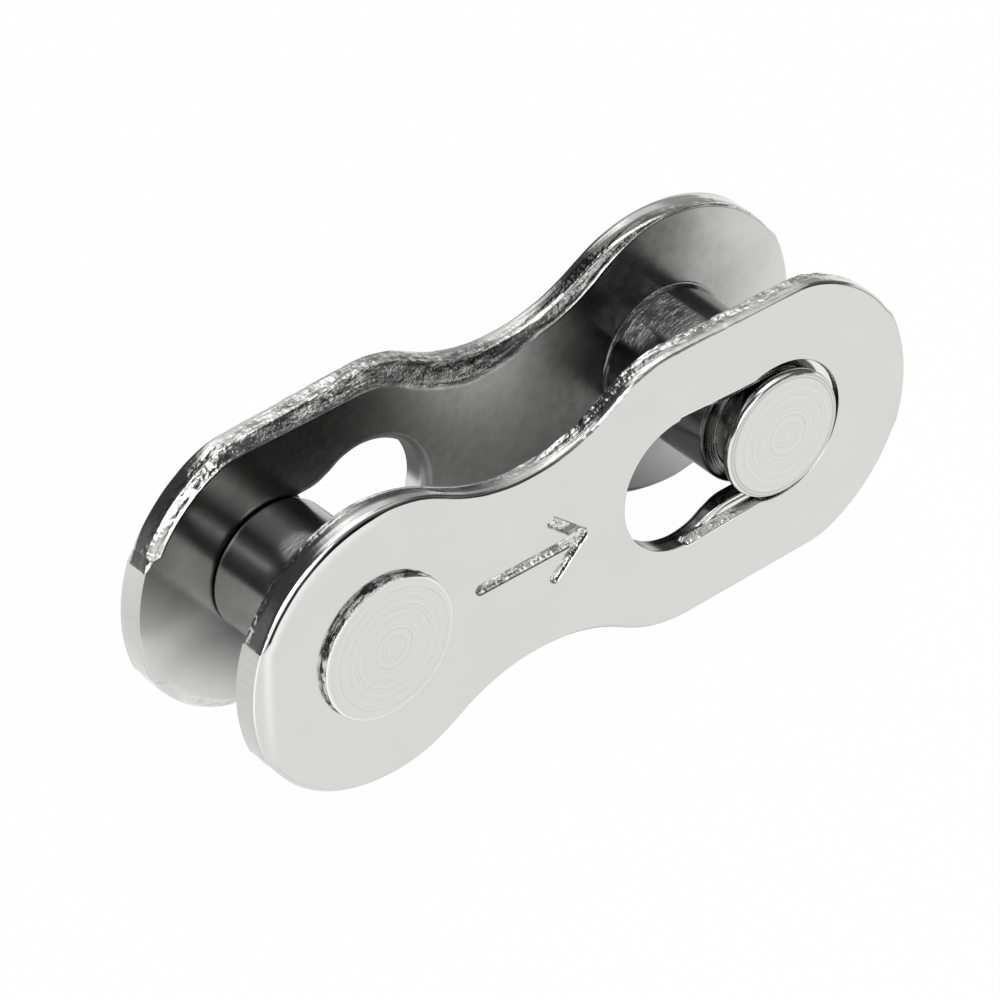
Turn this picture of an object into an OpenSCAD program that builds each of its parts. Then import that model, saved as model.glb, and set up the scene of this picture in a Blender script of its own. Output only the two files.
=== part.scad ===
// Bicycle chain connecting link: two identical stamped halves that lock face to face.
// Each half is a waisted plate with a keyhole at one end and a grooved pin riveted into
// the other end. The second half is the first one turned half a turn about Z.
// Millimetres, +Z up, +X along the chain, origin midway between the two pins.

/* [Chain] */
// Distance between the axes of the two pins, the pitch of the chain
pitch = 12.7; // [11.5:0.1:16]
// Clear width between the inner faces of the two plates
inner_width = 3.74; // [3:0.01:8]

/* [Plate] */
// Thickness of the stamped plate
plate_t = 0.75; // [0.6:0.01:1.2]
// Radius of the round lobe about the riveted pin
lobe_r = 4.12; // [3.8:0.01:4.6]
// Radius of the round end about the locked pin
end_r = 4.17; // [4.1:0.01:4.6]
// Half height of the plate at its narrow waist
waist_half_h = 2.73; // [2.4:0.01:3.1]
// Radius of the hollow waist curve
waist_r = 5; // [4:0.1:7]
// Half height of the shoulder crest on the keyhole side of the waist
crest_half_h = 4.14; // [4.06:0.01:4.4]
// Radius of the shoulder crest
crest_r = 3.3; // [2:0.1:3.8]
// Height by which the straight flank meets the round end below its top
flank_drop = 0.17; // [0.1:0.01:0.3]
// Radius of the flatter cap at each end
cap_r = 4.62; // [4.4:0.01:6]
// Length by which a cap's tip reaches past its round end
cap_proud = 0.02; // [0:0.01:0.05]
// Angle above the long axis where a cap stops, with a small corner
cap_stop = 24; // [15:1:35]

/* [Plate edge] */
// Width of the narrow bevel on the inner face
bevel_w = 0.32; // [0.1:0.01:0.5]
// Depth of the narrow bevel into the thickness
bevel_d = 0.22; // [0.1:0.01:0.3]
// Width of the wide shifting ramp round the shoulder crest
ramp_w = 0.72; // [0.4:0.01:0.9]
// Depth of the wide shifting ramp into the thickness
ramp_d = 0.2; // [0.1:0.01:0.3]
// Angle of the riveted lobe where its bevel has run out
bevel_stop = 93; // [80:1:110]
// Broken edge of the inner face where it has no bevel
edge_break = 0.04; // [0.02:0.01:0.08]
// Radius of the rolled edge of the outer face
edge_roll = 0.13; // [0.05:0.01:0.2]

/* [Keyhole] */
// Travel of a pin from its locked seat to the middle of the wide hole
unlock_travel = 3.06; // [2.6:0.01:3.6]
// Radial clearance of the pin in the wide hole
hole_clear = 0.09; // [0.05:0.01:0.3]
// Clearance on each side of the pin neck in the slot
slot_clear = 0.14; // [0.03:0.01:0.2]
// Depth of the coined recess round the slot
recess_d = 0.27; // [0.15:0.01:0.4]
// Clearance on each side of the lock head where the recess is narrowest, beside the seat
recess_clear = 0.05; // [0.04:0.01:0.15]
// Further width on each side of the recess where it starts, at the wide hole
recess_flare = 0.17; // [0:0.01:0.25]
// Width that each sloping side of the recess loses down to its floor
recess_slope = 0.13; // [0.02:0.01:0.2]
// Radial clearance of the lock head at the round end of the recess
seat_clear = 0.21; // [0.1:0.01:0.4]
// Bevel round the wide hole on the inner face
hole_bevel = 0.18; // [0.05:0.01:0.3]

/* [Pin] */
// Diameter of the pin between the plates
pin_d = 3.68; // [3.4:0.01:3.9]
// Diameter of the riveted shank in its own plate
shank_d = 3.3; // [2.6:0.01:3.34]
// Diameter of the grooved neck that slides in the slot
neck_d = 2.84; // [2.4:0.01:3.1]
// Diameter of the lock head beyond the groove
head_d = 3.57; // [3.3:0.01:3.7]
// Thickness of the lock head
head_t = 0.27; // [0.15:0.01:0.4]
// Height of the lock head above the outer face of the other plate
head_proud = 0.22; // [0.1:0.01:0.4]
// Running clearance between the pin shoulder and the other plate
shoulder_clear = 0.02; // [0.01:0.01:0.1]
// Diameter of the riveted head
rivet_d = 4.12; // [3.8:0.01:4.6]
// Height of the riveted head above its own plate
rivet_proud = 0.21; // [0.1:0.01:0.4]
// Small bevel on the edges of the pin
pin_bevel = 0.06; // [0.02:0.01:0.1]

/* [Hidden] */
$fn = 96;
plate_colour = [0.82, 0.82, 0.8];
pin_colour = [0.7, 0.7, 0.69];
over = 0.1;

arc_step = 4;
roll_step = 30;
cap_lead = 4;
sliver = 0.01;

half_pitch = pitch / 2;
pin_r = pin_d / 2;
neck_r = neck_d / 2;
head_r = head_d / 2;
shank_r = shank_d / 2;
rivet_r = rivet_d / 2;
wide_hole_r = pin_r + hole_clear;
slot_half_w = neck_r + slot_clear;
recess_half_w = head_r + recess_clear;
recess_end_r = head_r + seat_clear;
flank_half_h = end_r - flank_drop;

// Centres of the arcs of the upper outline
rivet_c = [-half_pitch, 0];
lock_c = [half_pitch, 0];
wide_hole_c = [half_pitch - unlock_travel, 0];
waist_x = -half_pitch + sqrt(pow(lobe_r + waist_r, 2) - pow(waist_half_h + waist_r, 2));
waist_c = [waist_x, waist_half_h + waist_r];
crest_drop = waist_c[1] - crest_half_h + crest_r;
crest_c = [waist_x + sqrt(pow(waist_r + crest_r, 2) - pow(crest_drop, 2)), crest_half_h - crest_r];

// Corner where the straight flank meets the round end, and the flank's tangent point on the crest
flank_end = [half_pitch + sqrt(pow(end_r, 2) - pow(flank_half_h, 2)), flank_half_h];
flank_reach = norm(flank_end - crest_c);
crest_stop = bearing(crest_c, flank_end) + acos(crest_r / flank_reach);
flank_start = on_circle(crest_c, crest_r, crest_stop);
flank_normal = bearing(flank_start, flank_end) + 90;

// Centres of the flatter caps at the two ends
lock_cap_c = lock_c - [cap_back(end_r), 0];
rivet_cap_c = rivet_c + [cap_back(lobe_r), 0];

// Angles at which the arcs of the upper outline meet
lobe_stop = bearing(rivet_c, waist_c);
crest_start = bearing(crest_c, waist_c);
waist_lobe = lobe_stop + 180;
waist_crest = crest_start + 180;
end_stop = bearing(lock_c, flank_end);

// Direction in degrees from one point to another
function bearing(from, to) = atan2(to[1] - from[1], to[0] - from[0]);

// Point of a circle at an angle
function on_circle(centre, r, a) = centre + r * [cos(a), sin(a)];

// Distance from the centre of a round end back to the centre of its cap
function cap_back(r) = cap_r - r - cap_proud;

// Angle of the cap's corner about the cap's own centre
function cap_angle(r) = cap_stop - asin(cap_back(r) * sin(cap_stop) / cap_r);

// Sizes of the inner edge, as [width, depth]
plain_edge = [edge_break, edge_break];
bevel_edge = [bevel_w, bevel_d];
ramp_edge = [ramp_w, ramp_d];

// Station of the outline on a circle, as [point, outward normal, inner edge]
function station(c, r, a, edge, bulge = 1) = [on_circle(c, r, a), bulge * [cos(a), sin(a)], edge];

// Stations along an arc of the outline. The last one is left to the next arc.
// Bulge is 1 where the plate lies inside the arc and -1 where it lies outside.
function arc_stations(c, r, from, to, edge_from, edge_to, bulge = 1) =
    let (steps = ceil(abs(to - from) / arc_step))
    [
        for (i = [0:steps - 1])
            let (f = i / steps)
            station(c, r, from + f * (to - from), edge_from + f * (edge_to - edge_from), bulge)
    ];

// Upper edge from the tip of the round end to the tip of the riveted lobe
upper_edge = concat(
    arc_stations(lock_cap_c, cap_r, 0, cap_angle(end_r), plain_edge, plain_edge),
    [station(lock_cap_c, cap_r, cap_angle(end_r), plain_edge)],
    arc_stations(lock_c, end_r, cap_stop + cap_lead, end_stop, bevel_edge, bevel_edge),
    [[flank_end, [cos(flank_normal), sin(flank_normal)], bevel_edge]],
    arc_stations(crest_c, crest_r, crest_stop, crest_start, (bevel_edge + ramp_edge) / 2, ramp_edge),
    arc_stations(waist_c, waist_r, waist_crest, 270, ramp_edge, ramp_edge, -1),
    arc_stations(waist_c, waist_r, 270, waist_lobe, bevel_edge, bevel_edge, -1),
    arc_stations(rivet_c, lobe_r, lobe_stop, bevel_stop, bevel_edge, plain_edge),
    arc_stations(rivet_c, lobe_r, bevel_stop, 180 - cap_stop - cap_lead, plain_edge, plain_edge),
    [station(rivet_c, lobe_r, 180 - cap_stop - cap_lead, plain_edge)],
    arc_stations(rivet_cap_c, cap_r, 180 - cap_angle(lobe_r), 180, plain_edge, plain_edge)
);

// Station mirrored to the lower side of the long axis
function lower(s) = [[s[0][0], -s[0][1]], [s[1][0], -s[1][1]], s[2]];

// Whole edge, anticlockwise: the upper edge, the tip of the lobe, and the lower edge back
upper_count = len(upper_edge);
plate_edge = concat(
    upper_edge,
    [station(rivet_cap_c, cap_r, 180, plain_edge)],
    [for (i = [upper_count - 1:-1:1]) lower(upper_edge[i])]
);

// Rings of the edge from the inner face to the outer face
function ring_point(s, inset, height) =
    let (p = s[0] - inset * s[1])
    [p[0], p[1], height];
edge_rings = concat(
    [[for (s = plate_edge) ring_point(s, s[2][0], 0)]],
    [[for (s = plate_edge) ring_point(s, 0, s[2][1])]],
    [
        for (a = [0:roll_step:90])
            [for (s = plate_edge) ring_point(s, edge_roll * (1 - cos(a)), plate_t - edge_roll * (1 - sin(a)))]
    ]
);

// Blank of the plate, lofted through the rings. Each flat face is a row of triangles between
// the stations of the upper edge and their mirrored fellows on the lower edge.
module blank() {
    count = len(plate_edge);
    top = (len(edge_rings) - 1) * count;
    flat_face = concat(
        [[0, 1, count - 1]],
        [
            for (i = [1:upper_count - 1])
                each [[i, i + 1, count - i], if (i < upper_count - 1) [i + 1, count - i - 1, count - i]]
        ]
    );
    polyhedron(
        points = [for (ring = edge_rings) each ring],
        faces = concat(
            flat_face,
            [
                for (a = [0:count:top - 1], i = [0:count - 1])
                    let (j = (i + 1) % count)
                    each [[a + i, a + count + i, a + j], [a + j, a + count + i, a + count + j]]
            ],
            [for (t = flat_face) [top + t[2], top + t[1], top + t[0]]]
        ),
        convexity = 6
    );
}

// Keyhole: a wide hole that passes the pin and a slot that holds its neck
module keyhole() {
    translate(wide_hole_c) circle(r = wide_hole_r);
    translate(wide_hole_c - [0, slot_half_w]) square([unlock_travel, 2 * slot_half_w]);
    translate(lock_c) circle(r = slot_half_w);
}

// Slice across the recess, with sloping sides that go on past the outer face
module recess_slice(half_w) {
    floor_half_w = half_w - recess_slope;
    past_half_w = half_w + recess_slope * over / recess_d;
    rotate([90, 0, 90])
        linear_extrude(height = sliver)
            polygon([
                [-floor_half_w, 0],
                [floor_half_w, 0],
                [past_half_w, recess_d + over],
                [-past_half_w, recess_d + over]
            ]);
}

// Coined recess in which the lock head slides from the wide hole to its round seat
module recess() {
    hull() {
        translate([wide_hole_c[0], 0, 0]) recess_slice(recess_half_w + recess_flare);
        translate([lock_c[0] - sliver, 0, 0]) recess_slice(recess_half_w);
    }
    translate([lock_c[0], 0, 0]) cylinder(h = recess_d + over, r = recess_end_r);
}

// Plate lying flat, inner face at z = 0, riveted end at -X and keyhole end at +X
module plate() {
    difference() {
        blank();
        translate([0, 0, -over])
            linear_extrude(height = plate_t + 2 * over)
                keyhole();
        translate([rivet_c[0], rivet_c[1], -over])
            cylinder(h = plate_t + 2 * over, r = shank_r);
        translate([0, 0, plate_t - recess_d])
            recess();
        translate([wide_hole_c[0], 0, -over])
            cylinder(h = hole_bevel + over, r1 = wide_hole_r + hole_bevel + over, r2 = wide_hole_r);
    }
}

// Pin standing on its own plate, turned in one piece, riveted head up and lock head down
module pin() {
    foot = -inner_width - plate_t - head_proud;
    groove = foot + head_t;
    shoulder = -inner_width + shoulder_clear;
    top = plate_t + rivet_proud;
    translate(rivet_c)
        rotate_extrude()
            polygon([
                [0, foot],
                [head_r - pin_bevel, foot],
                [head_r, foot + pin_bevel],
                [head_r, groove - pin_bevel],
                [head_r - pin_bevel, groove],
                [neck_r, groove],
                [neck_r, shoulder],
                [pin_r - pin_bevel, shoulder],
                [pin_r, shoulder + pin_bevel],
                [pin_r, 0],
                [shank_r, 0],
                [shank_r, plate_t],
                [rivet_r, plate_t],
                [rivet_r, top - pin_bevel],
                [rivet_r - pin_bevel, top],
                [0, top]
            ]);
}

// Stands a flat half up on its edge as the front half, with its outer face to the front
module front_half() {
    rotate([90, 0, 0])
        translate([0, 0, inner_width / 2])
            children();
}

// The same half turned about Z, with its outer face to the rear
module rear_half() {
    rotate([0, 0, 180])
        front_half()
            children();
}

module front_plate() {
    color(plate_colour) front_half() plate();
}

module front_pin() {
    color(pin_colour) front_half() pin();
}

module rear_plate() {
    color(plate_colour) rear_half() plate();
}

module rear_pin() {
    color(pin_colour) rear_half() pin();
}

front_plate();
front_pin();
rear_plate();
rear_pin();
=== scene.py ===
# Looks of a bicycle chain connecting link: two stamped plates and two turned pins.
# Sizes are in millimetres until a mesh is made. A plate is described lying flat, with x along
# the chain, z up and h above its inner face. The front plate's outer face looks to -Y, and the
# rear half is the front half turned half a turn about Z.
import math
from types import SimpleNamespace

import bpy
import numpy as np
from mathutils import Matrix, Vector, noise
from mathutils.geometry import delaunay_2d_cdt


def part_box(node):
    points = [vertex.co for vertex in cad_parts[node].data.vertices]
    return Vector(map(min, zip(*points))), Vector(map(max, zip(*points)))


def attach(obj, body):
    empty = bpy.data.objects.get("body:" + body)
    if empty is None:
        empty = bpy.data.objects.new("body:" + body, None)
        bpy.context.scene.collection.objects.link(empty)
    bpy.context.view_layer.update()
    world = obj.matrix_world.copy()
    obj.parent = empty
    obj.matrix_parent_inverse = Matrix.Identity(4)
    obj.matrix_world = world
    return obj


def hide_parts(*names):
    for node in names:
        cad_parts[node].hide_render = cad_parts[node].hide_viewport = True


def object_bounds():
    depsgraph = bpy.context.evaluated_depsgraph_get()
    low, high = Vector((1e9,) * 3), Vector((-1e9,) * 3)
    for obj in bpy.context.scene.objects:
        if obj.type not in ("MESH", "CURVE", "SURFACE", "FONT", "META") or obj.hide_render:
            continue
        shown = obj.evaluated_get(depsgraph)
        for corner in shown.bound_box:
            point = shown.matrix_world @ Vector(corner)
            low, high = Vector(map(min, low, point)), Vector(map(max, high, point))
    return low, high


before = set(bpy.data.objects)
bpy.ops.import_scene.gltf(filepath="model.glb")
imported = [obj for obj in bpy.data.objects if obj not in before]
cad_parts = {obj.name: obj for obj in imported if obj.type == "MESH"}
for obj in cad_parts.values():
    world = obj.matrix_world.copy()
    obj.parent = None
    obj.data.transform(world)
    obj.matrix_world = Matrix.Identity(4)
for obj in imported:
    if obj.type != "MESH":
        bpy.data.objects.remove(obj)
cad_low, cad_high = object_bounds()
MM = 0.001

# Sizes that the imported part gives
plate_low, plate_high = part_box("front_plate")
pin_low, pin_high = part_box("front_pin")
GAP = -2 * plate_high.y / MM
PLATE_T = (plate_high.y - plate_low.y) / MM
HALF_PITCH = -(pin_low.x + pin_high.x) / 2 / MM
RIVET_R = (pin_high.z - pin_low.z) / 2 / MM
RIVET_PROUD = (plate_low.y - pin_low.y) / MM
HEAD_PROUD = pin_high.y / MM - GAP / 2 - PLATE_T

# Outline of the plate, as in the part's source, with its angles in degrees
LOBE_R = 4.12
END_R = 4.17
WAIST_HALF_H = 2.73
WAIST_R = 5.0
CREST_HALF_H = 4.14
CREST_R = 3.3
FLANK_DROP = 0.17
CAP_R = 4.62
CAP_PROUD = 0.02
CAP_STOP = 24.0
CAP_LEAD = 4.0
BEVEL_STOP = 93.0

# Inner edge of the plate
BEVEL_W, BEVEL_D = 0.32, 0.22
RAMP_W, RAMP_D = 0.72, 0.20
PLAIN_W = 0.04

# Keyhole
UNLOCK_TRAVEL = 3.06
WIDE_HOLE_R = 1.93
SLOT_HALF_W = 1.56
RECESS_D = 0.27
RECESS_HALF_W = 1.835
RECESS_FLARE = 0.17
RECESS_SLOPE = 0.13
RECESS_END_R = 1.995
RECESS_SWEEP = 0.06
HOLE_BEVEL = 0.18

# Pin
PIN_R = 1.84
NECK_R = 1.42
SHANK_R = 1.65
HEAD_R = 1.785
HEAD_T = 0.27
SHOULDER_CLEAR = 0.02
FOOT_R = 0.11
HEAD_ROUND = 0.13

# Fineness of the meshes, and the turn in radians between stations of the shank's hole
EDGE_STEP = 0.045
HOLE_STEP = 0.06
PATH_STEP = 0.02
SHANK_TURN = 0.1
MARK_STEP = 0.028
PIN_STATIONS = 300

LOCK_C = np.array([HALF_PITCH, 0.0])
RIVET_C = np.array([-HALF_PITCH, 0.0])
HOLE_C = np.array([HALF_PITCH - UNLOCK_TRAVEL, 0.0])


def bearing(start, end):
    """Direction in degrees from one point to another."""
    return math.degrees(math.atan2(end[1] - start[1], end[0] - start[0]))


def heading(degrees):
    """Unit vector at an angle."""
    return np.array([math.cos(math.radians(degrees)), math.sin(math.radians(degrees))])


def arc(centre, radius, start, stop, step=EDGE_STEP, bulge=1):
    """Points and outward normals along an arc, without its last point."""
    count = max(2, math.ceil(abs(radius * math.radians(stop - start)) / step))
    turn = np.radians(start + (stop - start) * np.arange(count) / count)
    ray = np.stack([np.cos(turn), np.sin(turn)], 1)
    return np.asarray(centre) + radius * ray, bulge * ray


def line(start, end, step=EDGE_STEP):
    """Points and left-hand normals along a straight stretch, without its last point."""
    start, end = np.asarray(start, float), np.asarray(end, float)
    count = max(2, math.ceil(np.linalg.norm(end - start) / step))
    run = (end - start) / np.linalg.norm(end - start)
    points = start + (end - start) * np.arange(count)[:, None] / count
    return points, np.tile([run[1], -run[0]], (count, 1))


def cap_span(back):
    """Angle of half a cap about its own centre, which lies back from the centre of the round end."""
    return CAP_STOP - math.degrees(math.asin(back * math.sin(math.radians(CAP_STOP)) / CAP_R))


def upper_outline():
    """Upper edge's points, normals, length run, and length where each part starts, from the keyhole end."""
    lock_back = CAP_R - END_R - CAP_PROUD
    rivet_back = CAP_R - LOBE_R - CAP_PROUD
    waist_z = WAIST_HALF_H + WAIST_R
    waist_x = -HALF_PITCH + math.sqrt((LOBE_R + WAIST_R) ** 2 - waist_z**2)
    waist_c = np.array([waist_x, waist_z])
    crest_z = CREST_HALF_H - CREST_R
    crest_c = np.array([waist_x + math.sqrt((WAIST_R + CREST_R) ** 2 - (waist_z - crest_z) ** 2), crest_z])
    flank_z = END_R - FLANK_DROP
    flank_end = np.array([HALF_PITCH + math.sqrt(END_R**2 - flank_z**2), flank_z])
    reach = np.linalg.norm(flank_end - crest_c)
    crest_stop = bearing(crest_c, flank_end) + math.degrees(math.acos(CREST_R / reach))
    crest_start = bearing(crest_c, waist_c)
    lobe_stop = bearing(RIVET_C, waist_c)
    parts = {
        "start": arc(LOCK_C - [lock_back, 0], CAP_R, 0, cap_span(lock_back)),
        "corner": arc(LOCK_C, END_R, CAP_STOP + CAP_LEAD, CAP_STOP + 2 * CAP_LEAD),
        "round": arc(LOCK_C, END_R, CAP_STOP + 2 * CAP_LEAD, bearing(LOCK_C, flank_end)),
        "flank": line(flank_end, crest_c + CREST_R * heading(crest_stop)),
        "crest": arc(crest_c, CREST_R, crest_stop, crest_start),
        "ramp": arc(waist_c, WAIST_R, crest_start + 180, 270, bulge=-1),
        "waist": arc(waist_c, WAIST_R, 270, lobe_stop + 180, bulge=-1),
        "lobe": arc(RIVET_C, LOBE_R, lobe_stop, BEVEL_STOP),
        "side": arc(RIVET_C, LOBE_R, BEVEL_STOP, 180 - CAP_STOP - CAP_LEAD),
        "cap": arc(RIVET_C + [rivet_back, 0], CAP_R, 180 - cap_span(rivet_back), 180),
    }
    points, normals = (np.concatenate(rows) for rows in zip(*parts.values()))
    length = np.concatenate([[0], np.cumsum(np.linalg.norm(np.diff(points, axis=0), axis=1))])
    places, first = {}, 0
    for name, (part, _) in parts.items():
        places[name] = length[first]
        first += len(part)
    places["tip"] = length[-1] + EDGE_STEP
    points = np.vstack([points, RIVET_C - [LOBE_R + CAP_PROUD, 0]])
    normals = np.vstack([normals, [-1, 0]])
    return points, normals, np.append(length, places["tip"]), places


def settle(rows, reach):
    """Rows of a closed ring, each averaged with its neighbours on both sides."""
    return sum(np.roll(rows, k, axis=0) for k in range(-reach, reach + 1)) / (2 * reach + 1)


# How much weaker and how many times finer each further layer of the noise is
NOISE_FADE = 0.8
NOISE_SHRINK = 2.1


def fractal(points, octaves):
    """Noise from about -1 to 1 at points that are counted in grains."""
    values = [noise.fractal(Vector(p), NOISE_FADE, NOISE_SHRINK, octaves) for p in points.reshape(-1, 3)]
    return np.array(values).reshape(points.shape[:-1])


def grains(along, across, seed):
    """Noise over two coordinates that count grains."""
    return fractal(np.stack(np.broadcast_arrays(along, across, seed), -1).astype(float), 2)


def speckle(points, grain, octaves=2):
    """Noise at points in millimetres, with grains of the given size."""
    return fractal(points / grain, octaves)


# Distance under which corners of a flat face are one
WELD_REACH = 1e-7


def put_in_scene(name, data):
    """Object of a mesh, lamp or camera, linked into the scene."""
    body = bpy.data.objects.new(name, data)
    bpy.context.scene.collection.objects.link(body)
    return body


class Skin:
    """Points, faces and finish of one piece.

    Crush is 1 on torn metal, streak is 1 on sheared metal, and painted light goes from -1 on a dark line of
    painted shade to 1 on a painted highlight line, some of them on really burnished edges.
    """

    def __init__(self):
        self.points, self.finish, self.faces, self.count = [], [], [], 0

    def add(self, points, crush=0, streak=0, shine=0):
        """Adds points and returns their numbers in the same layout."""
        points = np.asarray(points, float)
        layout = points.shape[:-1]
        finish = np.stack([np.broadcast_to(value, layout) for value in (crush, streak, shine)], -1)
        self.points.append(points.reshape(-1, 3))
        self.finish.append(finish.reshape(-1, 3))
        numbers = self.count + np.arange(int(np.prod(layout))).reshape(layout)
        self.count += numbers.size
        return numbers

    def grid(self, numbers, closed=True):
        """Faces between neighbouring rows of numbers, closed into rings if asked."""
        along = np.concatenate([numbers, numbers[:, :1]], 1) if closed else numbers
        quads = np.stack([along[:-1, :-1], along[:-1, 1:], along[1:, 1:], along[1:, :-1]], -1)
        self.faces += quads.reshape(-1, 4).tolist()

    def fill(self, flat, outer, holes, upward):
        """Flat face inside the outer loop and outside the holes, given as numbers into the flat points."""
        edges, start = [], 0
        for loop in [outer] + holes:
            edges += [(start + k, start + (k + 1) % len(loop)) for k in range(len(loop))]
            start += len(loop)
        order = np.concatenate([outer] + holes)
        coords = [Vector(p) for p in flat[order]]
        _, _, triangles, origins, _, _ = delaunay_2d_cdt(coords, edges, [], 0, WELD_REACH)
        corners = order[[o[0] for o in origins]][np.array(triangles)]
        centres = flat[corners].mean(1)
        keep = inside(centres, flat[outer])
        for loop in holes:
            keep &= ~inside(centres, flat[loop])
        corners = corners[keep]
        a, b, c = np.moveaxis(flat[corners], 1, 0)
        turn = (b[:, 0] - a[:, 0]) * (c[:, 1] - a[:, 1]) - (b[:, 1] - a[:, 1]) * (c[:, 0] - a[:, 0])
        flip = (turn > 0) != upward
        corners[flip] = corners[flip][:, ::-1]
        self.faces += corners.tolist()

    def piece(self, name, sign):
        """Mesh object of the skin, in the front half at sign -1 or in the rear half at sign 1."""
        mesh = bpy.data.meshes.new(name)
        x, h, z = np.concatenate(self.points).T
        points = np.stack([-sign * x, sign * (GAP / 2 + h), z], 1) * MM
        mesh.from_pydata(points.tolist(), [], self.faces)
        mesh.polygons.foreach_set("use_smooth", [True] * len(mesh.polygons))
        finish = np.concatenate(self.finish)
        for k, label in enumerate(("crush", "streak", "shine")):
            layer = mesh.attributes.new(label, "FLOAT", "POINT")
            layer.data.foreach_set("value", finish[:, k].astype(np.float32))
        mesh.update()
        return put_in_scene(name, mesh)


def inside(points, loop):
    """Which points lie inside a closed loop."""
    result = np.zeros(len(points), bool)
    for (x0, z0), (x1, z1) in zip(loop, np.roll(loop, -1, axis=0)):
        if z0 != z1:
            cross = (points[:, 1] > z0) != (points[:, 1] > z1)
            result ^= cross & (points[:, 0] < x0 + (points[:, 1] - z0) / (z1 - z0) * (x1 - x0))
    return result


def lifted(flat, h):
    """Flat points, as (x, z), at a height above the inner face, as (x, h, z)."""
    h = np.broadcast_to(h, flat.shape[:-1])
    return np.stack([flat[..., 0], h, flat[..., 1]], -1)


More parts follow.
